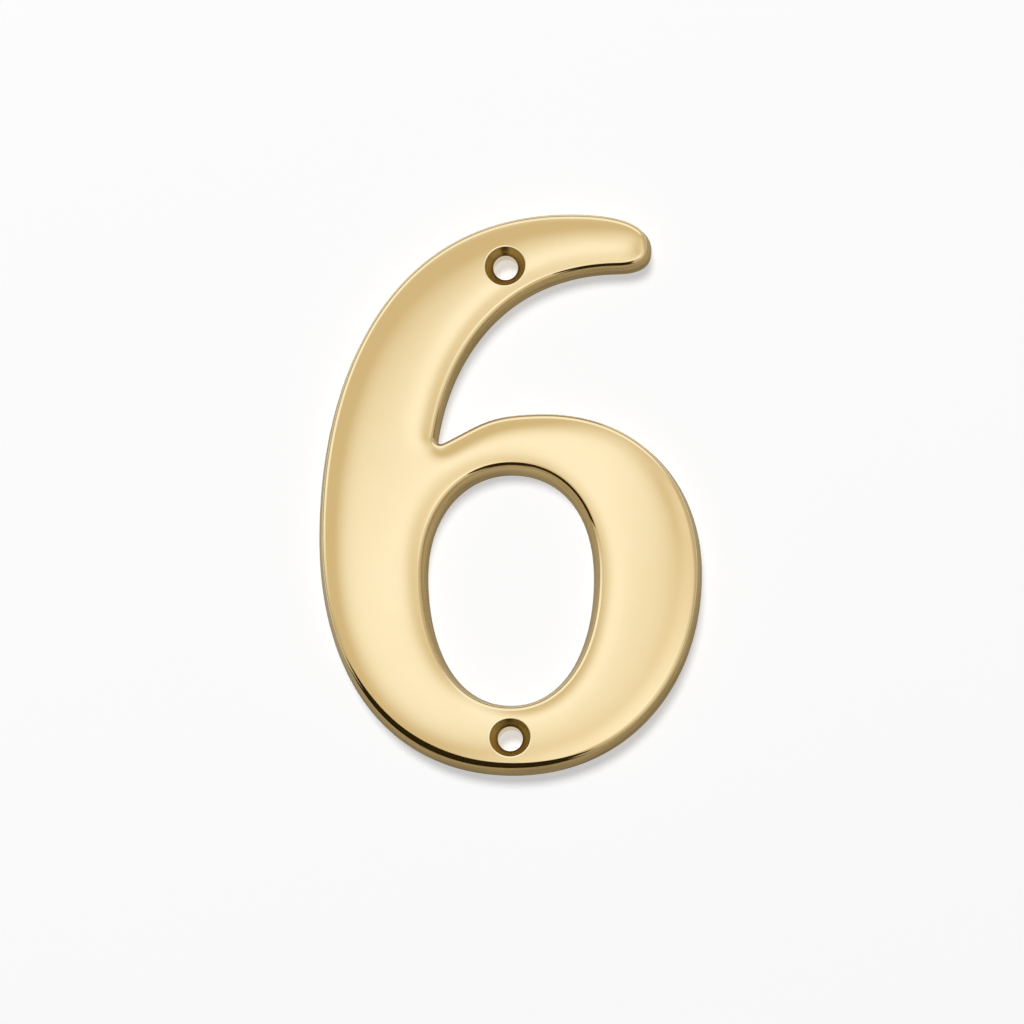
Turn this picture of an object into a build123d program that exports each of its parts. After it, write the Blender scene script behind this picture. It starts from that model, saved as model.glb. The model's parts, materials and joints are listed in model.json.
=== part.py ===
from build123d import *
from build123d.topology import SkipClean
import os

import numpy as np

os.makedirs("parts", exist_ok=True)

# A cast brass house numeral, face fixed with two countersunk screws. Sizes are in millimetres.
# The flat back lies on Y = 0, the front looks along -Y and +Z is up.
# The origin is on the back, midway between the two screw holes.

# Screw holes, one above the other
hole_spacing = 64.0
hole_diameter = 3.3
countersink_diameter = 5.5
countersink_angle = 90.0

# Section of the casting, from the flat back to the crowned front, with a crease between wall and round
edge_height = 3.4
edge_radius = 1.0
crease_lean = 35.0
outer_draft = 8.5
counter_draft = 13.5
crown_rise = 0.45
crown_reach = 2.3

# Extreme points of the outline at the back
left_x = -25.3
left_z = -4.4
top_x = 7.9
top_z = 39.5
tip_x = 19.4
tip_z = 34.7
tail_under_x = 14.8
tail_under_z = 31.4
bowl_top_x = 4.4
bowl_top_z = 12.3
right_x = 25.6
right_z = -9.2
bottom_x = 0.8
bottom_z = -36.5

# The rounded notch where the bowl leaves the stem
notch_x = -8.9
notch_z = 8.9
notch_radius = 0.4
notch_stem_angle = 172.0
notch_bowl_angle = 295.0

# Extreme points of the egg shaped counter at the back
counter_x = 0.25
counter_top_z = 4.2
counter_bottom_z = -27.0
counter_left_x = -10.8
counter_right_x = 11.2
counter_waist_z = -9.7

# How long each curve holds its direction at its start and end, as shares of its span
stem_hold = (0.53, 0.70)
brow_hold = (0.67, 0.64)
tip_hold = (0.49, 0.91)
throat_hold = (0.67, 0.43)
shoulder_hold = (0.42, 0.56)
bowl_hold = (0.64, 0.545)
heel_hold = (0.57, 0.60)
belly_hold = (0.635, 0.59)
counter_upper_right_hold = (0.58, 0.64)
counter_lower_right_hold = (0.555, 0.64)
counter_lower_left_hold = (0.66, 0.56)
counter_upper_left_hold = (0.66, 0.51)

# The edge round is lofted in two strips, and the crown cuts its upper strip at a shallow angle
strip_levels = 3
crown_crossing = 12.0

# The blank stands above its edge round, for the crown to be cut from it
blank_rise = 2 * crown_rise
blank_slope = 30.0

# The crown is worked out on a grid that reaches past the outline, from a fine polygon of each edge
grid_steps_per_reach = 1.5
polygon_steps_per_reach = 40
grid_margin = 2 * crown_reach
grid_step = crown_reach / grid_steps_per_reach
polygon_step = crown_reach / polygon_steps_per_reach
grid_tolerance = 0.001
grid_smoothing = (1, 1, 1)
grid_degree = 5


def quarter(start, end, hold, upright):
    """A quarter turn between two extreme points, upright if it leaves along Z."""
    leave, arrive = hold
    if upright:
        after_start = (start.X, start.Y + leave * (end.Y - start.Y))
        before_end = (end.X - arrive * (end.X - start.X), end.Y)
    else:
        after_start = (start.X + leave * (end.X - start.X), start.Y)
        before_end = (end.X, end.Y - arrive * (end.Y - start.Y))
    Bezier(start, after_start, before_end, end)


def polar(radius, angle):
    return Vector(radius, 0).rotate(Axis.Z, angle)


def numeral_line(inset):
    """The outer outline, moved into the metal by inset."""
    left = Vector(left_x + inset, left_z)
    top = Vector(top_x, top_z - inset)
    tip = Vector(tip_x - inset, tip_z)
    tail_under = Vector(tail_under_x, tail_under_z + inset)
    bowl_top = Vector(bowl_top_x, bowl_top_z - inset)
    right = Vector(right_x - inset, right_z)
    bottom = Vector(bottom_x, bottom_z + inset)
    notch = Vector(notch_x, notch_z)
    on_stem = notch + polar(notch_radius + inset, notch_stem_angle)
    on_bowl = notch + polar(notch_radius + inset, notch_bowl_angle)
    deepest = notch + polar(notch_radius + inset, (notch_stem_angle + notch_bowl_angle) / 2)
    throat = tail_under - on_stem
    shoulder = bowl_top - on_bowl
    along_throat = Vector(throat_hold[0] * throat.X, 0)
    up_stem = polar(throat_hold[1] * throat.Y, notch_stem_angle - 90)
    up_bowl = polar(shoulder_hold[0] * shoulder.X, notch_bowl_angle + 90)
    along_shoulder = Vector(shoulder_hold[1] * shoulder.X, 0)
    # The stretches stay apart, so that each has a wall face of its own
    with SkipClean(), BuildLine() as line:
        quarter(left, top, stem_hold, upright=True)
        quarter(top, tip, brow_hold, upright=False)
        quarter(tip, tail_under, tip_hold, upright=True)
        Bezier(tail_under, tail_under - along_throat, on_stem + up_stem, on_stem)
        ThreePointArc(on_stem, deepest, on_bowl)
        Bezier(on_bowl, on_bowl + up_bowl, bowl_top - along_shoulder, bowl_top)
        quarter(bowl_top, right, bowl_hold, upright=False)
        quarter(right, bottom, heel_hold, upright=True)
        quarter(bottom, left, belly_hold, upright=False)
    return line.wire()


def counter_line(inset):
    """The counter's outline, moved into the metal by inset."""
    top = Vector(counter_x, counter_top_z + inset)
    right = Vector(counter_right_x + inset, counter_waist_z)
    bottom = Vector(counter_x, counter_bottom_z - inset)
    left = Vector(counter_left_x - inset, counter_waist_z)
    with SkipClean(), BuildLine() as line:
        quarter(top, right, counter_upper_right_hold, upright=False)
        quarter(right, bottom, counter_lower_right_hold, upright=True)
        quarter(bottom, left, counter_lower_left_hold, upright=False)
        quarter(left, top, counter_upper_left_hold, upright=True)
    return line.wire()


def draft_run(height, angle):
    return height * np.tan(np.radians(angle))


def fine_polygon(wire):
    """Middle points and steps of a fine polygon round an outline."""
    count = round(wire.length / polygon_step)
    corners = np.array([tuple(wire @ (i / count))[:2] for i in range(count + 1)])
    return (corners[1:] + corners[:-1]) / 2, np.diff(corners, axis=0)


outer_edge = fine_polygon(numeral_line(draft_run(edge_height, outer_draft)))
counter_edge = fine_polygon(counter_line(draft_run(edge_height, counter_draft)))


def goes_round(polygon, point):
    middles, steps = polygon
    arms = middles - point
    turn = (arms[:, 0] * steps[:, 1] - arms[:, 1] * steps[:, 0]) / (arms**2).sum(axis=1)
    return abs(turn.sum()) > np.pi


def depth_into_metal(point):
    """Smooth distance from the nearest edges, negative outside the metal."""
    # A long straight edge pulls by 2 over the square of its distance
    pull = 0
    for middles, steps in (outer_edge, counter_edge):
        pull += (np.hypot(*steps.T) / np.hypot(*(middles - point).T) ** 3).sum()
    inside = goes_round(outer_edge, point) and not goes_round(counter_edge, point)
    return np.sqrt(2 / pull) if inside else -np.sqrt(2 / pull)


def crown_point(x, z):
    """The point of the crowned front at a place in the plan."""
    rise = crown_rise * np.tanh(depth_into_metal(np.array([x, z])) / crown_reach)
    return Vector(x, -edge_height - rise, z)


def crown_face():
    columns = np.arange(left_x - grid_margin, right_x + grid_margin, grid_step)
    rows = np.arange(bottom_z - grid_margin, top_z + grid_margin, grid_step)
    return Face.make_surface_from_array_of_points(
        [[crown_point(x, z) for z in rows] for x in columns],
        tol=grid_tolerance,
        smoothing=grid_smoothing,
        max_deg=grid_degree,
    )


def level(line, height, inset):
    return Plane.XZ.offset(height) * Face(line(inset))


def edge_levels(line, draft):
    """Levels of the blank: up the wall, over the lower and upper strips of the edge round, and above."""
    crease = np.radians(crease_lean)
    slope = np.arctan(crown_rise / crown_reach)
    # The round's centre lies this far under the crown, which fixes where the wall ends
    drop = edge_radius * np.cos(np.radians(crown_crossing)) / np.cos(slope)
    short = drop - edge_radius * (np.sin(crease) + np.tan(slope) * np.cos(crease))
    wall_top = edge_height - short / (1 - np.tan(slope) * np.tan(np.radians(draft)))
    leans = np.linspace(crease, np.pi / 2 - slope, 2 * strip_levels - 1)
    insets = draft_run(wall_top, draft) + edge_radius * (np.cos(crease) - np.cos(leans))
    heights = wall_top + edge_radius * (np.sin(leans) - np.sin(crease))
    rounded = [level(line, height, inset) for height, inset in zip(heights, insets)]
    above = level(line, heights[-1] + blank_rise, insets[-1] + draft_run(blank_rise, blank_slope))
    wall = [level(line, 0, 0), rounded[0]]
    return wall, rounded[:strip_levels], rounded[strip_levels - 1 :], [rounded[-1], above]


# The casting: a drafted blank with a soft edge, the counter through it, the crown and the screw holes
with BuildPart() as numeral_six:
    for line, draft, mode in (
        (numeral_line, outer_draft, Mode.ADD),
        (counter_line, counter_draft, Mode.SUBTRACT),
    ):
        for levels in edge_levels(line, draft):
            loft(levels, ruled=len(levels) < strip_levels, clean=False, mode=mode)
    extrude(crown_face(), amount=2 * blank_rise, dir=(0, -1, 0), clean=False, mode=Mode.SUBTRACT)
    for side in (-1, 1):
        # The countersink's cone starts above the crown, so that its rim follows the crown
        above_rim = crown_point(0, side * hole_spacing / 2) - Vector(0, crown_rise, 0)
        with Locations(Plane(above_rim, x_dir=(1, 0, 0), z_dir=(0, -1, 0))):
            CounterSinkHole(
                hole_diameter / 2,
                countersink_diameter / 2 + draft_run(crown_rise, countersink_angle / 2),
                counter_sink_angle=countersink_angle,
            )

numeral_six.part.label = "numeral_six"
export_step(numeral_six.part, "parts/numeral_six.step")
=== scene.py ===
import json

import bpy
import numpy as np
from mathutils import Matrix, Vector
from mathutils.geometry import delaunay_2d_cdt
from mathutils.kdtree import KDTree


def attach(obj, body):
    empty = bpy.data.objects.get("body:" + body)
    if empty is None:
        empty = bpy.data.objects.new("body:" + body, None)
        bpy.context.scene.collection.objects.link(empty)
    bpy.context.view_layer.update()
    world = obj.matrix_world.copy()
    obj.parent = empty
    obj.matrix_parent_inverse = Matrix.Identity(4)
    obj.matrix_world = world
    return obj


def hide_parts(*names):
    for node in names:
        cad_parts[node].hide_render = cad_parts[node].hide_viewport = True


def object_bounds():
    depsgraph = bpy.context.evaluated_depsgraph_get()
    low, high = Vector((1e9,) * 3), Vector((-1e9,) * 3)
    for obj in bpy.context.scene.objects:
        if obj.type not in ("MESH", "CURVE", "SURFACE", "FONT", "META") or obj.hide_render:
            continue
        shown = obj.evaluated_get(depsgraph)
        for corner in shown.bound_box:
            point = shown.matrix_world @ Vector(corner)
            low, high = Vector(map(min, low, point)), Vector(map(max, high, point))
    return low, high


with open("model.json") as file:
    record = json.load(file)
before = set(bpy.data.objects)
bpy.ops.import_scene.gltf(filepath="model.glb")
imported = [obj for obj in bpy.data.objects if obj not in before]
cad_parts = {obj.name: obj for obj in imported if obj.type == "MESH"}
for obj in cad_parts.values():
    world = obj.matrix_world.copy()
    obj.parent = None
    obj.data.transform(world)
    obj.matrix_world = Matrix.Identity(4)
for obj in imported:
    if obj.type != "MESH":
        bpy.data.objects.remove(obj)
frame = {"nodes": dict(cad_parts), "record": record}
cad_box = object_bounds()

# A polished brass house numeral lying on a pale surface, in metres, in the frame of the solid:
# the flat back on Y = 0, the front along -Y, +Z up, the origin midway between the screw holes.
MM = 0.001
FRONT = np.array([0.0, -1.0, 0.0])

# Section of the casting, as the solid has it
edge_height = 3.4 * MM
edge_radius = 1.0 * MM
crease_lean = np.radians(35)
outer_draft = np.radians(8.5)
counter_draft = np.radians(13.5)
crown_rise = 0.45 * MM
crown_reach = 2.3 * MM

# The screw holes, from the record's mount, and their countersinks
screw_holes = next(m for m in frame["record"]["mounts"] if m["name"] == "screw_holes")["dims"]
hole_radius = screw_holes["hole_r_mm"] * MM
hole_spacing = screw_holes["spacing_y_mm"] * MM
countersink_radius = 2.75 * MM
countersink_lean = np.radians(45)

# Small breaks on the sharp edges of the solid
back_break = 0.06 * MM
wall_break = 0.08 * MM
bore_break = 0.06 * MM
rim_break = 0.3 * MM
rim_lean = np.radians(60)

# Fineness of the mesh
station_step = 0.3 * MM
station_turn = np.radians(8)
spline_samples = 24
grid_step = 0.5 * MM
grid_clearance = 0.6 * grid_step
hole_stations = 96
break_rows = 5
round_rows = 10
dull_rows = 1
settle_rounds = 20
flat_tolerance = 0.001 * MM
sheet_tolerance = 1e-6 * MM
INSIDE_WITH_HOLES = 2

# Numbers of the finishes, in the order of the piece's materials
POLISHED, SATIN, TURNED, BURNISHED_HIGHLIGHT, GROUND = range(5)


# The outline, read from the flat back of the solid


def back_loops(node):
    """Closed outlines of the node's flat back in x and z, the metal on their right, longest first."""
    corners = {}
    edges = set()
    for polygon in node.data.polygons:
        spots = [node.data.vertices[i].co for i in polygon.vertices]
        if any(abs(spot.y) > flat_tolerance for spot in spots):
            continue
        keys = [(round(spot.x / flat_tolerance), round(spot.z / flat_tolerance)) for spot in spots]
        corners.update((key, (spot.x, spot.z)) for key, spot in zip(keys, spots))
        edges.update(zip(keys, keys[1:] + keys[:1]))
    following = {a: b for a, b in edges if (b, a) not in edges}
    loops = []
    while following:
        start, corner = following.popitem()
        loop = [start]
        while corner != start:
            loop.append(corner)
            corner = following.pop(corner)
        loops.append(np.array([corners[key] for key in loop]))
    return sorted(loops, key=lambda loop: -np.hypot(*np.diff(loop, axis=0).T).sum())


def smooth_loop(corners):
    """Stations on the smooth closed curve through the corners, and their directions into the metal."""
    here = np.arange(len(corners))
    before = here - 1
    after = (here + 1) % len(corners)
    steps = corners[after] - corners
    spans = np.hypot(*steps.T)
    # Slopes of the closed cubic spline at the corners
    system = np.zeros((len(corners), len(corners)))
    system[here, before] = 1 / spans[before]
    system[here, here] = 2 / spans[before] + 2 / spans
    system[here, after] = 1 / spans
    rates = 3 * steps / spans[:, None] ** 2
    slopes = np.linalg.solve(system, rates + rates[before])
    start = corners[:, None]
    step = steps[:, None]
    leave = (spans[:, None] * slopes)[:, None]
    arrive = (spans[:, None] * slopes[after])[:, None]
    t = np.linspace(0, 1, spline_samples, endpoint=False)[None, :, None]
    curve = start + t**2 * (3 - 2 * t) * step + t * (1 - t) ** 2 * leave - t**2 * (1 - t) * arrive
    heading = 6 * t * (1 - t) * step + (1 - t) * (1 - 3 * t) * leave - t * (2 - 3 * t) * arrive
    curve = curve.reshape(-1, 2)
    heading = heading.reshape(-1, 2)
    heading /= np.hypot(*heading.T)[:, None]
    # Stations lie closer together where the curve turns
    lengths = np.hypot(*(np.roll(curve, -1, axis=0) - curve).T)
    turns = np.abs(np.roll(heading, -1, axis=0) - heading).max(axis=1)
    measure = np.concatenate([[0], np.cumsum(lengths / station_step + turns / station_turn)])
    stations = np.linspace(0, measure[-1], round(measure[-1]), endpoint=False)
    samples = np.hstack([curve, heading])
    samples = np.vstack([samples, samples[:1]])
    x, z, along_x, along_z = (np.interp(stations, measure, column) for column in samples.T)
    inward = np.stack([along_z, -along_x], axis=1)
    return np.stack([x, z], axis=1), inward / np.hypot(*inward.T)[:, None]


def circle(centre, radius):
    """Stations round a hole, and their directions into the metal."""
    angles = np.linspace(0, 2 * np.pi, hole_stations, endpoint=False)
    outward = np.stack([np.cos(angles), np.sin(angles)], axis=1)
    return centre + radius * outward, outward


outer_corners, counter_corners = back_loops(frame["nodes"]["numeral_six"])[:2]
outer_loop = smooth_loop(outer_corners)
counter_loop = smooth_loop(counter_corners)


# The crowned front


def crown_edge(loop, draft):
    """Middles and lengths of the edge polygon that the crown rises from."""
    points, inward = loop
    corners = points + edge_height * np.tan(draft) * inward
    after = np.roll(corners, -1, axis=0)
    return (corners + after) / 2, np.hypot(*(after - corners).T)


crown_edges = [crown_edge(outer_loop, outer_draft), crown_edge(counter_loop, counter_draft)]


def crown(plan):
    """Heights of the crown at places in the plan, and its slopes there."""
    # A long straight edge pulls by 2 over the square of its distance
    pull = 0
    pull_slope = 0
    for middles, lengths in crown_edges:
        arms = plan[:, None] - middles
        squares = (arms**2).sum(axis=2)
        pulls = lengths / squares**1.5
        pull = pull + pulls.sum(axis=1)
        pull_slope = pull_slope - 3 * np.einsum("ij,ijk->ik", pulls / squares, arms)
    depth = np.sqrt(2 / pull)
    depth_slope = -(depth / (2 * pull))[:, None] * pull_slope
    share = np.tanh(depth / crown_reach)
    slopes = (crown_rise / crown_reach * (1 - share**2))[:, None] * depth_slope
    return edge_height + crown_rise * share, slopes


# The mesh, gathered row by row from the back to the front

places = []
normals = []
faces = []
finishes = []


def add_points(plan, heights, directions):
    """Adds vertices and returns their numbers."""
    first = sum(len(block) for block in places)
    places.append(np.stack([plan[:, 0], -heights, plan[:, 1]], axis=1))
    normals.append(directions / np.linalg.norm(directions, axis=1)[:, None])
    return np.arange(first, first + len(plan))


def add_crown_points(plan):
    heights, slopes = crown(plan)
    return add_points(plan, heights, np.insert(-slopes, 1, -1, axis=1))


def add_row(loop, inset, heights, lean):
    """Adds a closed row, moved into the metal by inset, facing away from it and up by the lean."""
    points, inward = loop
    inset, heights, lean = (np.broadcast_to(value, len(points)) for value in (inset, heights, lean))
    sideways = np.insert(-inward, 1, 0, axis=1)
    directions = np.cos(lean)[:, None] * sideways + np.sin(lean)[:, None] * FRONT
    return add_points(points + inset[:, None] * inward, heights, directions)


def add_strip(lower, upper, finish):
    """Joins two closed rows of the same length."""
    quads = np.stack([lower, upper, np.roll(upper, -1), np.roll(lower, -1)], axis=1)
    faces.extend(quads.tolist())
    finishes.extend([finish] * len(quads))


def add_arc(loop, below, centre, radius, leans, wall_finish, arc_finish):
    """Adds a round edge about its centre, joined to the row below it by a wall."""
    inset, height = centre
    finish = wall_finish
    for lean in leans:
        row = add_row(loop, inset - radius * np.cos(lean), height + radius * np.sin(lean), lean)
        add_strip(below, row, finish)
        below = row
        finish = arc_finish
    return below


def add_back_break(loop, draft, finish):
    """Adds the broken edge round the back, and returns its first and last rows."""
    inset = back_break * (1 + np.sin(draft)) / np.cos(draft)
    first = add_row(loop, inset, 0, -np.pi / 2)
    leans = np.linspace(-np.pi / 2, draft, break_rows)[1:]
    return first, add_arc(loop, first, (inset, back_break), back_break, leans, finish, finish)


def add_front_round(loop, below, foot, wall_lean, round_lean, radius, wall_finish, round_finish):
    """Adds a wall from its foot, and the round edge that leaves it at a crease and meets the crown."""
    points, inward = loop
    crease = radius - wall_break
    contact = np.full(len(points), radius)
    for _ in range(settle_rounds):
        heights, slopes = crown(points + contact[:, None] * inward)
        slope = np.arctan((slopes * inward).sum(axis=1))
        drop = radius * np.cos(slope) - crease * np.sin(round_lean) - wall_break * np.sin(wall_lean)
        climb = (heights - foot - drop) / np.cos(wall_lean)
        wall_inset = climb * np.sin(wall_lean) + wall_break * np.cos(wall_lean)
        inset = wall_inset + crease * np.cos(round_lean)
        contact = inset - radius * np.sin(slope)
    height = heights - radius * np.cos(slope)
    leans = np.linspace(wall_lean, round_lean, break_rows)
    centre = (wall_inset, height + crease * np.sin(round_lean))
    below = add_arc(loop, below, centre, wall_break, leans, wall_finish, wall_finish)
    leans = np.linspace(np.full(len(points), round_lean), np.pi / 2 - slope, round_rows)[1:-1]
    below = add_arc(loop, below, (inset, height), radius, leans[:dull_rows], wall_finish, wall_finish)
    last = add_arc(loop, below, (inset, height), radius, leans[dull_rows:], round_finish, round_finish)
    front = add_crown_points(points + contact[:, None] * inward)
    add_strip(last, front, round_finish)
    return front


def add_sheet(rows, inner, facing, finish):
    """Fills the space between closed rows with triangles, through the inner points that lie in it."""
    plans = [np.vstack(places)[row][:, [0, 2]] for row in rows]
    numbers = np.concatenate(rows)
    borders = []
    first = 0
    for row in rows:
        borders.append(list(range(first, first + len(row))))
        first += len(row)
    spots = [Vector(spot) for spot in np.vstack(plans + [inner])]
    result = delaunay_2d_cdt(spots, [], borders, INSIDE_WITH_HOLES, sheet_tolerance)
    triangles, origins = result[2], result[3]
    triangles = np.array([[origins[corner][0] for corner in triangle] for triangle in triangles])
    used = np.unique(triangles[triangles >= first])
    index = np.zeros(len(spots), dtype=int)
    index[:first] = numbers
    if len(used):
        index[used] = add_crown_points(inner[used - first])
    faces.extend(index[triangles][:, ::facing].tolist())
    finishes.extend([finish] * len(triangles))


def inner_grid(rows):
    """Places on a triangular grid over the numeral, clear of the rows."""
    low, high = cad_box
    x, z = np.meshgrid(
        np.arange(low.x, high.x, grid_step),
        np.arange(low.z, high.z, grid_step * np.sin(np.pi / 3)),
    )
    x[1::2] += grid_step / 2
    grid = np.stack([x.ravel(), z.ravel()], axis=1)
    border = np.vstack(places)[np.concatenate(rows)]
    tree = KDTree(len(border))
    for i, spot in enumerate(border):
        tree.insert((spot[0], 0, spot[2]), i)
    tree.balance()
    return np.array([spot for spot in grid if tree.find((spot[0], 0, spot[1]))[2] > grid_clearance])


def add_object(name, data):
    """A new object in the scene."""
    made = bpy.data.objects.new(name, data)
    bpy.context.scene.collection.objects.link(made)
    return made


back_rows = []
front_rows = []
for loop, draft in ((outer_loop, outer_draft), (counter_loop, counter_draft)):
    back, below = add_back_break(loop, draft, SATIN)
    back_rows.append(back)
    front_rows.append(add_front_round(loop, below, 0, draft, crease_lean, edge_radius, SATIN, POLISHED))

hole_centres = np.array([[0, -hole_spacing / 2], [0, hole_spacing / 2]])
cone_depth = (countersink_radius - hole_radius) / np.tan(countersink_lean)
cone_feet = crown(hole_centres)[0] - cone_depth
for centre, cone_foot in zip(hole_centres, cone_feet):
    loop = circle(centre, hole_radius)
    back, below = add_back_break(loop, 0, TURNED)
    bore_top = cone_foot - bore_break * np.tan(countersink_lean / 2)
    leans = np.linspace(0, countersink_lean, break_rows)
    below = add_arc(loop, below, (bore_break, bore_top), bore_break, leans, TURNED, TURNED)
    back_rows.append(back)
    front_rows.append(
        add_front_round(loop, below, cone_foot, countersink_lean, rim_lean, rim_break, TURNED, BURNISHED_HIGHLIGHT)
    )

add_sheet(front_rows, inner_grid(front_rows), 1, POLISHED)
add_sheet(back_rows, np.empty((0, 2)), -1, GROUND)

mesh = bpy.data.meshes.new("brass_numeral")
mesh.from_pydata(np.vstack(places).tolist(), [], faces)
mesh.polygons.foreach_set("material_index", finishes)
mesh.polygons.foreach_set("use_smooth", [True] * len(faces))
mesh.normals_split_custom_set_from_vertices(np.vstack(normals).tolist())
numeral = add_object("brass_numeral", mesh)
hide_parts("numeral_six")
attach(numeral, "root")


# Tools for the materials


def fill_socket(tree, socket, value):
    """Gives a socket a link or a plain value."""
    if isinstance(value, bpy.types.NodeSocket):
        tree.links.new(value, socket)
    else:
        socket.default_value = value


def add_node(tree, kind, inputs, **settings):
    """Adds a node with its settings, and fills its inputs with values or links."""
    node = tree.nodes.new(kind)
    for name, value in settings.items():
        setattr(node, name, value)
    for name, value in inputs.items():
        fill_socket(tree, node.inputs[name], value)
    return node


def add_math(tree, operation, *values, **settings):
    """The result of an operation on values or links."""
    inputs = dict(enumerate(values))
    return add_node(tree, "ShaderNodeMath", inputs, operation=operation, **settings).outputs["Value"]


def add_product(tree, first, second):
    """The dot product of two vectors."""
    inputs = {0: first, 1: second}
    return add_node(tree, "ShaderNodeVectorMath", inputs, operation="DOT_PRODUCT").outputs["Value"]


def add_scaled(tree, colour, share):
    """A colour, darker or brighter by a share."""
    inputs = {0: colour, "Scale": share}
    return add_node(tree, "ShaderNodeVectorMath", inputs, operation="SCALE").outputs["Vector"]


def add_range(tree, value, low, high, start=0, end=1):
    """Maps a value between start and end onto the range from low to high."""
    inputs = {"Value": value, "From Min": start, "From Max": end, "To Min": low, "To Max": high}
    return add_node(tree, "ShaderNodeMapRange", inputs).outputs["Result"]


def add_mix(tree, factor, first, second):
    """A colour between the first and the second."""
    mix = tree.nodes.new("ShaderNodeMixRGB")
    for socket, value in zip(mix.inputs, (factor, first, second)):
        fill_socket(tree, socket, value)
    return mix.outputs["Color"]


def add_noise(tree, vector, scale, stretch=(1, 1, 1)):
    """Noise with about scale features per millimetre, stretched along the axes."""
    stretched = add_node(tree, "ShaderNodeMapping", {"Vector": vector, "Scale": stretch})
    inputs = {"Vector": stretched.outputs["Vector"], "Scale": scale}
    return add_node(tree, "ShaderNodeTexNoise", inputs).outputs["Fac"]


def blank_material(name):
    """A new material without nodes, and its tree."""
    material = bpy.data.materials.new(name)
    material.use_nodes = True
    material.node_tree.nodes.clear()
    return material, material.node_tree


# The finishes of the brass

bump_depth = 0.05 * MM
plain_tint = (1, 1, 1, 1)
polished_dark = (0.90, 0.735, 0.42, 1)
polished_light = (0.93, 0.775, 0.47, 1)
satin_front = (0.51, 0.36, 0.165, 1)
# The back colour of the walls is painted shade where they meet the surface
satin_back_painted_shade = (0.33, 0.255, 0.145, 1)
satin_edge_tint = (0.66, 0.60, 0.46, 1)
ring_dark = (0.18, 0.115, 0.025, 1)
ring_light = (0.76, 0.555, 0.21, 1)
ring_scale = 9.0
bore_colour = (0.74, 0.62, 0.41, 1)
# Painted shade on the countersink cone next to the bore
bore_shade = 0.4
bore_shade_width = 0.35 * MM
# The rim colour is paler than the brass, a painted highlight round each countersink
rim_highlight_dark = (1.0, 0.90, 0.58, 1)
rim_highlight_light = (1.0, 0.94, 0.66, 1)
ground_dark = (0.50, 0.39, 0.20, 1)
ground_light = (0.92, 0.78, 0.49, 1)


def brass_material(name):
    """A blank material, its tree and its coordinates in millimetres."""
    material, tree = blank_material(name)
    coordinates = tree.nodes.new("ShaderNodeTexCoord")
    inputs = {"Vector": coordinates.outputs["Object"], "Scale": (1 / MM,) * 3}
    return material, tree, add_node(tree, "ShaderNodeMapping", inputs).outputs["Vector"]


def add_metal(tree, colour, roughness, height, bump_strength, edge_tint=plain_tint):
    """Finishes a material as bare metal, with a bump from the height and a tint at grazing angles."""
    bump = add_node(
        tree,
        "ShaderNodeBump",
        {"Height": height, "Strength": bump_strength, "Distance": bump_depth},
    )
    shader = add_node(
        tree,
        "ShaderNodeBsdfPrincipled",
        {
            "Base Color": colour,
            "Metallic": 1.0,
            "Roughness": roughness,
            "Specular Tint": edge_tint,
            "Normal": bump.outputs["Normal"],
        },
    )
    add_node(tree, "ShaderNodeOutputMaterial", {"Surface": shader.outputs["BSDF"]})


def polished_material():
    material, tree, vector = brass_material("polished_front")
    tone = add_noise(tree, vector, scale=0.12)
    colour = add_mix(tree, tone, polished_dark, polished_light)
    smears = add_noise(tree, vector, scale=0.6)
    roughness = add_range(tree, smears, low=0.06, high=0.11)
    scratches = add_noise(tree, vector, scale=4.0, stretch=(0.15, 1, 1))
    add_metal(tree, colour, roughness, scratches, bump_strength=0.02)
    return material


def satin_material():
    material, tree, vector = brass_material("satin_wall")
    depth = add_node(tree, "ShaderNodeSeparateXYZ", {"Vector": vector}).outputs["Y"]
    # Painted shade: the walls are darker towards the back, where they meet the surface
    painted_shade_towards_back = add_range(tree, depth, low=0, high=1, start=-edge_height / MM, end=0)
    plain = add_mix(tree, painted_shade_towards_back, satin_front, satin_back_painted_shade)
    streaks = add_noise(tree, vector, scale=1.5, stretch=(0.08, 1, 0.08))
    shade = add_range(tree, streaks, low=0.5, high=1.5)
    colour = add_scaled(tree, plain, shade)
    roughness = add_range(tree, streaks, low=0.22, high=0.34)
    add_metal(tree, colour, roughness, streaks, bump_strength=0.1, edge_tint=satin_edge_tint)
    return material


def turned_material():
    """Fine rings round the middle of each hole, with painted shade on the cone next to the bore, and a
    plain bore.
    """
    material, tree, vector = brass_material("turned_countersink")
    spot = add_node(tree, "ShaderNodeSeparateXYZ", {"Vector": vector})
    from_middle = add_math(tree, "ABSOLUTE", spot.outputs["Z"])
    from_hole = add_math(tree, "SUBTRACT", from_middle, hole_spacing / 2 / MM)
    arm = add_node(tree, "ShaderNodeCombineXYZ", {"X": spot.outputs["X"], "Y": from_hole})
    length = add_node(tree, "ShaderNodeVectorMath", {0: arm.outputs["Vector"]}, operation="LENGTH")
    radius = length.outputs["Value"]
    ring_inputs = {"W": radius, "Scale": ring_scale}
    rings = add_node(tree, "ShaderNodeTexNoise", ring_inputs, noise_dimensions="1D").outputs["Fac"]
    ring_colour = add_mix(tree, rings, ring_dark, ring_light)
    # Painted shade: the cone is darker next to the bore
    shade_end = (hole_radius + bore_shade_width) / MM
    shade = add_range(tree, radius, low=bore_shade, high=1, start=hole_radius / MM, end=shade_end)
    turned = add_scaled(tree, ring_colour, shade)
    upper_cone_foot = cone_feet[-1]
    in_bore = add_math(tree, "GREATER_THAN", spot.outputs["Y"], -upper_cone_foot / MM)
    colour = add_mix(tree, in_bore, turned, bore_colour)
    roughness = add_range(tree, rings, low=0.14, high=0.28)
    add_metal(tree, colour, roughness, rings, bump_strength=0.3)
    return material


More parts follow.
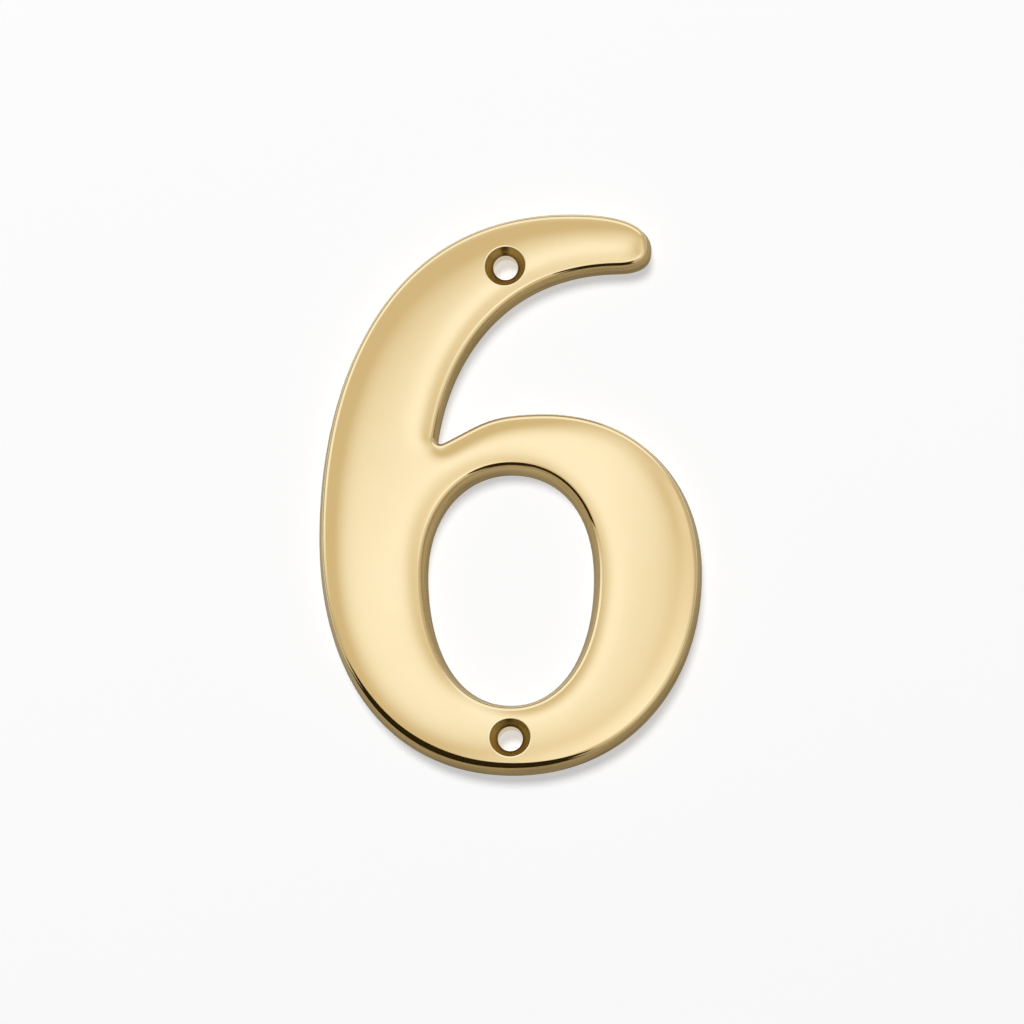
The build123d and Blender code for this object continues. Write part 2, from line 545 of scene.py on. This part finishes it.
def burnished_highlight_material():
    material, tree, vector = brass_material("burnished_rim_painted_highlight")
    # Burnished, with a painted highlight in its paler colour
    tone = add_noise(tree, vector, scale=1.2)
    colour = add_mix(tree, tone, rim_highlight_dark, rim_highlight_light)
    roughness = add_range(tree, tone, low=0.12, high=0.2)
    add_metal(tree, colour, roughness, tone, bump_strength=0.02)
    return material


def ground_material():
    material, tree, vector = brass_material("ground_back")
    grain = add_noise(tree, vector, scale=6.0, stretch=(0.05, 1, 1))
    colour = add_mix(tree, grain, ground_dark, ground_light)
    roughness = add_range(tree, grain, low=0.3, high=0.5)
    add_metal(tree, colour, roughness, grain, bump_strength=0.3)
    return material


for make in (polished_material, satin_material, turned_material, burnished_highlight_material, ground_material):
    mesh.materials.append(make())


# The pale surface that the numeral lies on

floor_gap = 0.02 * MM
floor_size = 4.0
floor_colour = (0.93, 0.93, 0.935, 1)
floor_glow = 0.53
mirrored_share = 0.45
mirrored_level = 0.78


def floor_material():
    """Pale and matt with a glow for the camera and the metal, and clear from behind."""
    material, tree = blank_material("pale_floor")
    rays = tree.nodes.new("ShaderNodeLightPath")
    matt = add_node(tree, "ShaderNodeBsdfDiffuse", {"Color": floor_colour})
    seen = add_math(tree, "MAXIMUM", rays.outputs["Is Camera Ray"], rays.outputs["Is Glossy Ray"])
    glow_strength = add_math(tree, "MULTIPLY", seen, floor_glow)
    glow = add_node(tree, "ShaderNodeEmission", {"Strength": glow_strength})
    lit = add_node(tree, "ShaderNodeAddShader", {0: matt.outputs["BSDF"], 1: glow.outputs["Emission"]})
    # In the metal the surface shows a paler shadow
    evenly = add_node(tree, "ShaderNodeEmission", {"Strength": mirrored_level})
    even_share = add_math(tree, "MULTIPLY", rays.outputs["Is Glossy Ray"], mirrored_share)
    mirrored = add_node(
        tree,
        "ShaderNodeMixShader",
        {0: even_share, 1: lit.outputs["Shader"], 2: evenly.outputs["Emission"]},
    )
    # The surface is seen from the front only, so that the numeral's back can be looked at
    behind = tree.nodes.new("ShaderNodeNewGeometry")
    clear = tree.nodes.new("ShaderNodeBsdfTransparent")
    one_sided = add_node(
        tree,
        "ShaderNodeMixShader",
        {0: behind.outputs["Backfacing"], 1: mirrored.outputs["Shader"], 2: clear.outputs["BSDF"]},
    )
    add_node(tree, "ShaderNodeOutputMaterial", {"Surface": one_sided.outputs["Shader"]})
    return material


half = floor_size / 2
floor_corners = [(-half, -half), (half, -half), (half, half), (-half, half)]
floor_mesh = bpy.data.meshes.new("floor")
floor_mesh.from_pydata([(x, floor_gap, z) for x, z in floor_corners], [], [(0, 1, 2, 3)])
floor_mesh.materials.append(floor_material())
floor = add_object("floor", floor_mesh)


# Soft boxes near the front, which fade towards their edges

softbox_sides = 64
softbox_fade = 2.0


def show_in_metal_only(thing):
    """Hides a thing from the camera, from matt surfaces and from the shadows."""
    thing.visible_camera = False
    thing.visible_diffuse = False
    thing.visible_shadow = False


def softbox_material(name, colour):
    """A glow that fades towards the edge, added to what is behind it."""
    material, tree = blank_material(name)
    arm = tree.nodes.new("ShaderNodeTexCoord").outputs["Object"]
    square = add_product(tree, arm, arm)
    rest = add_math(tree, "SUBTRACT", 1.0, square, use_clamp=True)
    fade = add_math(tree, "POWER", rest, softbox_fade)
    glow = add_node(tree, "ShaderNodeEmission", {"Color": colour, "Strength": fade})
    clear = tree.nodes.new("ShaderNodeBsdfTransparent")
    both = add_node(tree, "ShaderNodeAddShader", {0: clear.outputs["BSDF"], 1: glow.outputs["Emission"]})
    add_node(tree, "ShaderNodeOutputMaterial", {"Surface": both.outputs["Shader"]})
    return material


def add_softbox(name, distance, x, z, length, width, turn, colour):
    """An oval soft box in front of the numeral. Each has its own distance, so that none hides another."""
    mesh = bpy.data.meshes.new(name)
    angles = np.linspace(0, 2 * np.pi, softbox_sides, endpoint=False)
    mesh.from_pydata([(np.cos(a), 0, np.sin(a)) for a in angles], [], [tuple(range(softbox_sides))])
    mesh.materials.append(softbox_material(name, colour))
    softbox = add_object(name, mesh)
    softbox.location = (x, -distance, z)
    softbox.rotation_euler = (0, -turn, 0)
    softbox.scale = (length, 1, width)
    show_in_metal_only(softbox)


add_softbox(
    "key_softbox",
    distance=200 * MM,
    x=-21 * MM,
    z=28 * MM,
    length=87 * MM,
    width=60 * MM,
    turn=np.radians(49),
    colour=(0.385, 0.49, 0.71, 1),
)
add_softbox(
    "top_softbox",
    distance=202 * MM,
    x=21 * MM,
    z=85 * MM,
    length=70 * MM,
    width=42 * MM,
    turn=np.radians(57),
    colour=(0.24, 0.305, 0.445, 1),
)
add_softbox(
    "tip_softbox",
    distance=206 * MM,
    x=92 * MM,
    z=84 * MM,
    length=60 * MM,
    width=50 * MM,
    turn=np.radians(57),
    colour=(0.15, 0.18, 0.25, 1),
)
add_softbox(
    "fill_softbox",
    distance=204 * MM,
    x=50 * MM,
    z=-54 * MM,
    length=170 * MM,
    width=102 * MM,
    turn=np.radians(57),
    colour=(0.39, 0.465, 0.635, 1),
)


# Dark cards close to the lower edges, which mirror them as black lines

dark_colour = (0.022, 0.015, 0.004, 1)
edge_axis = np.radians(248.5)
edge_spread = np.radians(51.5)
tail_axis = np.radians(242)
tail_spread = np.radians(47.5)
tail_from = 20 * MM
strip_gap = 0.8 * MM
strip_foot = 2.0 * MM
strip_height = 3.6 * MM
shelf_level = 5.0 * MM
shelf_width = 12 * MM
bottom_shelf_gap = -1.7 * MM
bottom_shelf_ease = 0.81 * MM
tail_shelf_gap = 0.6 * MM
counter_shelf_gap = 0.1 * MM
least_share = 0.1


def dark_material():
    material, tree = blank_material("dark_strip")
    glow = add_node(tree, "ShaderNodeEmission", {"Color": dark_colour})
    add_node(tree, "ShaderNodeOutputMaterial", {"Surface": glow.outputs["Emission"]})
    return material


card_material = dark_material()


def add_dark_card(name, loop, chosen, axis, spread, gap, foot, height=0, width=0, ease=0):
    """A card along the chosen stations of an outline that face within the spread of an axis.

    Its near side is the gap from the outline and the foot from the back. Its height and width are full
    where the outline faces along the axis, and run out where it turns away. The ease moves it off there.
    """
    points, inward = loop
    facing = -inward @ np.array([np.cos(axis), np.sin(axis)])
    lowest = np.cos(spread)
    share = np.clip((facing - lowest) / (1 - lowest), 0, 1)
    sides = []
    for part in (np.zeros(len(points)), share):
        away = gap + ease / np.maximum(share, least_share) + width * part
        x, z = (points - away[:, None] * inward).T
        sides.append(np.stack([x, -foot - height * part, z], axis=1))
    beside = chosen & (facing > lowest)
    here = np.flatnonzero(beside & np.roll(beside, -1))
    after = (here + 1) % len(points)
    quads = np.stack([here, after, after + len(points), here + len(points)], axis=1)
    mesh = bpy.data.meshes.new(name)
    mesh.from_pydata(np.vstack(sides).tolist(), [], quads.tolist())
    mesh.materials.append(card_material)
    strip = add_object(name, mesh)
    show_in_metal_only(strip)


in_tail = outer_loop[0][:, 1] > tail_from
in_counter = np.full(len(counter_loop[0]), True)
add_dark_card(
    "bottom_strip",
    outer_loop,
    ~in_tail,
    edge_axis,
    edge_spread,
    gap=strip_gap,
    foot=strip_foot,
    height=strip_height,
)
add_dark_card(
    "bottom_shelf",
    outer_loop,
    ~in_tail,
    edge_axis,
    edge_spread,
    gap=bottom_shelf_gap,
    foot=shelf_level,
    width=shelf_width,
    ease=bottom_shelf_ease,
)
add_dark_card(
    "tail_strip",
    outer_loop,
    in_tail,
    tail_axis,
    tail_spread,
    gap=tail_shelf_gap,
    foot=shelf_level,
    width=shelf_width,
)
add_dark_card(
    "counter_strip",
    counter_loop,
    in_counter,
    edge_axis,
    edge_spread,
    gap=counter_shelf_gap,
    foot=shelf_level,
    width=shelf_width,
)


# The studio that the metal mirrors, by direction, with a plain backdrop for the camera

backdrop_colour = (0.99, 0.99, 0.99, 1)
studio_colour = (0.71, 0.615, 0.455)

# Colours of the bright and the plain side, by the angle from the front in degrees
bright_stops = [
    (90, (0.40, 0.36, 0.30)),
    (78, (0.40, 0.36, 0.30)),
    (66, (1.05, 1.05, 1.05)),
    (38, (1.08, 1.12, 1.25)),
    (31, studio_colour),
]
plain_stops = [
    (90, (0.45, 0.40, 0.32)),
    (75, (0.56, 0.50, 0.40)),
    (45, (0.64, 0.56, 0.43)),
    (31, studio_colour),
]

# Parts of the studio, each with its axis and how far along it the part starts and is full
bright_axis = (-0.35, 0, 0.94)
bright_span = (0.3, 0.5)
lower_right_axis = (0.604, -0.766, -0.22)
lower_right_span = (0.88, 0.945)
lower_right_colour = (0.82, 0.79, 0.72, 1)
below_axis = (0, -0.12, -0.993)
below_span = (0.93, 0.975)


def add_ramp(tree, place, stops):
    """A colour that eases from stop to stop, the place running from the back to the front."""
    ramp = add_node(tree, "ShaderNodeValToRGB", {"Fac": place})
    ramp.color_ramp.interpolation = "EASE"
    elements = ramp.color_ramp.elements
    while len(elements) < len(stops):
        elements.new(1)
    for element, (angle, colour) in zip(elements, stops):
        element.position = (1 + np.cos(np.radians(angle))) / 2
        element.color = (*colour, 1)
    return ramp.outputs["Color"]


def make_studio():
    world = bpy.data.worlds.new("studio")
    world.use_nodes = True
    world.cycles_visibility.diffuse = False
    tree = world.node_tree
    tree.nodes.clear()
    direction = tree.nodes.new("ShaderNodeTexCoord").outputs["Generated"]

    def part_of_studio(axis, start, end):
        return add_range(tree, add_product(tree, direction, axis), low=0, high=1, start=start, end=end)

    place = part_of_studio(FRONT.tolist(), -1, 1)
    bright_side = add_ramp(tree, place, bright_stops)
    plain_side = add_ramp(tree, place, plain_stops)
    studio = add_mix(tree, part_of_studio(bright_axis, *bright_span), plain_side, bright_side)
    lower_right = part_of_studio(lower_right_axis, *lower_right_span)
    studio = add_mix(tree, lower_right, studio, lower_right_colour)
    studio = add_mix(tree, part_of_studio(below_axis, *below_span), studio, dark_colour)
    rays = tree.nodes.new("ShaderNodeLightPath")
    seen = add_mix(tree, rays.outputs["Is Camera Ray"], studio, backdrop_colour)
    background = add_node(tree, "ShaderNodeBackground", {"Color": seen})
    add_node(tree, "ShaderNodeOutputWorld", {"Surface": background.outputs["Background"]})
    return world


bpy.context.scene.world = make_studio()


# A lamp for the shadow on the surface, which the metal does not mirror

lamp_place = Vector((-0.38, -2.265, 1.22))
lamp_size = 0.95
lamp_power = 36.5
lamp_data = bpy.data.lights.new("shadow_lamp", "AREA")
lamp_data.shape = "DISK"
lamp_data.size = lamp_size
lamp_data.energy = lamp_power
lamp = add_object("shadow_lamp", lamp_data)
lamp.location = lamp_place
lamp.rotation_mode = "QUATERNION"
lamp.rotation_quaternion = (-lamp_place).to_track_quat("-Z", "Y")
lamp.visible_glossy = False
lamp.visible_camera = False


# The camera, a little below and to the right of the numeral's front

image_side = 1024
pixel = 0.1331 * MM
camera_tilt = np.radians(12)
camera_yaw = np.radians(2.5)
camera_roll = np.radians(0.57)
camera_distance = 1.9
sensor_width = 36.0
centre_right = 3.1 * pixel
centre_down = 5.2 * pixel

towards_camera = Vector(
    (
        np.sin(camera_yaw) * np.cos(camera_tilt),
        -np.cos(camera_yaw) * np.cos(camera_tilt),
        -np.sin(camera_tilt),
    )
)
level_right = Vector((0, 0, 1)).cross(towards_camera).normalized()
level_up = towards_camera.cross(level_right)
right = level_right * np.cos(camera_roll) - level_up * np.sin(camera_roll)
up = level_up * np.cos(camera_roll) + level_right * np.sin(camera_roll)
aim = right * centre_right - up * centre_down
place = aim + towards_camera * camera_distance

camera_data = bpy.data.cameras.new("camera")
camera_data.sensor_width = sensor_width
camera_data.lens = sensor_width * camera_distance / (image_side * pixel)
camera = add_object("camera", camera_data)
camera_turn = Matrix((right, up, towards_camera)).transposed().to_4x4()
camera.matrix_world = Matrix.Translation(place) @ camera_turn
bpy.context.scene.camera = camera
bpy.context.scene.view_settings.view_transform = "Standard"
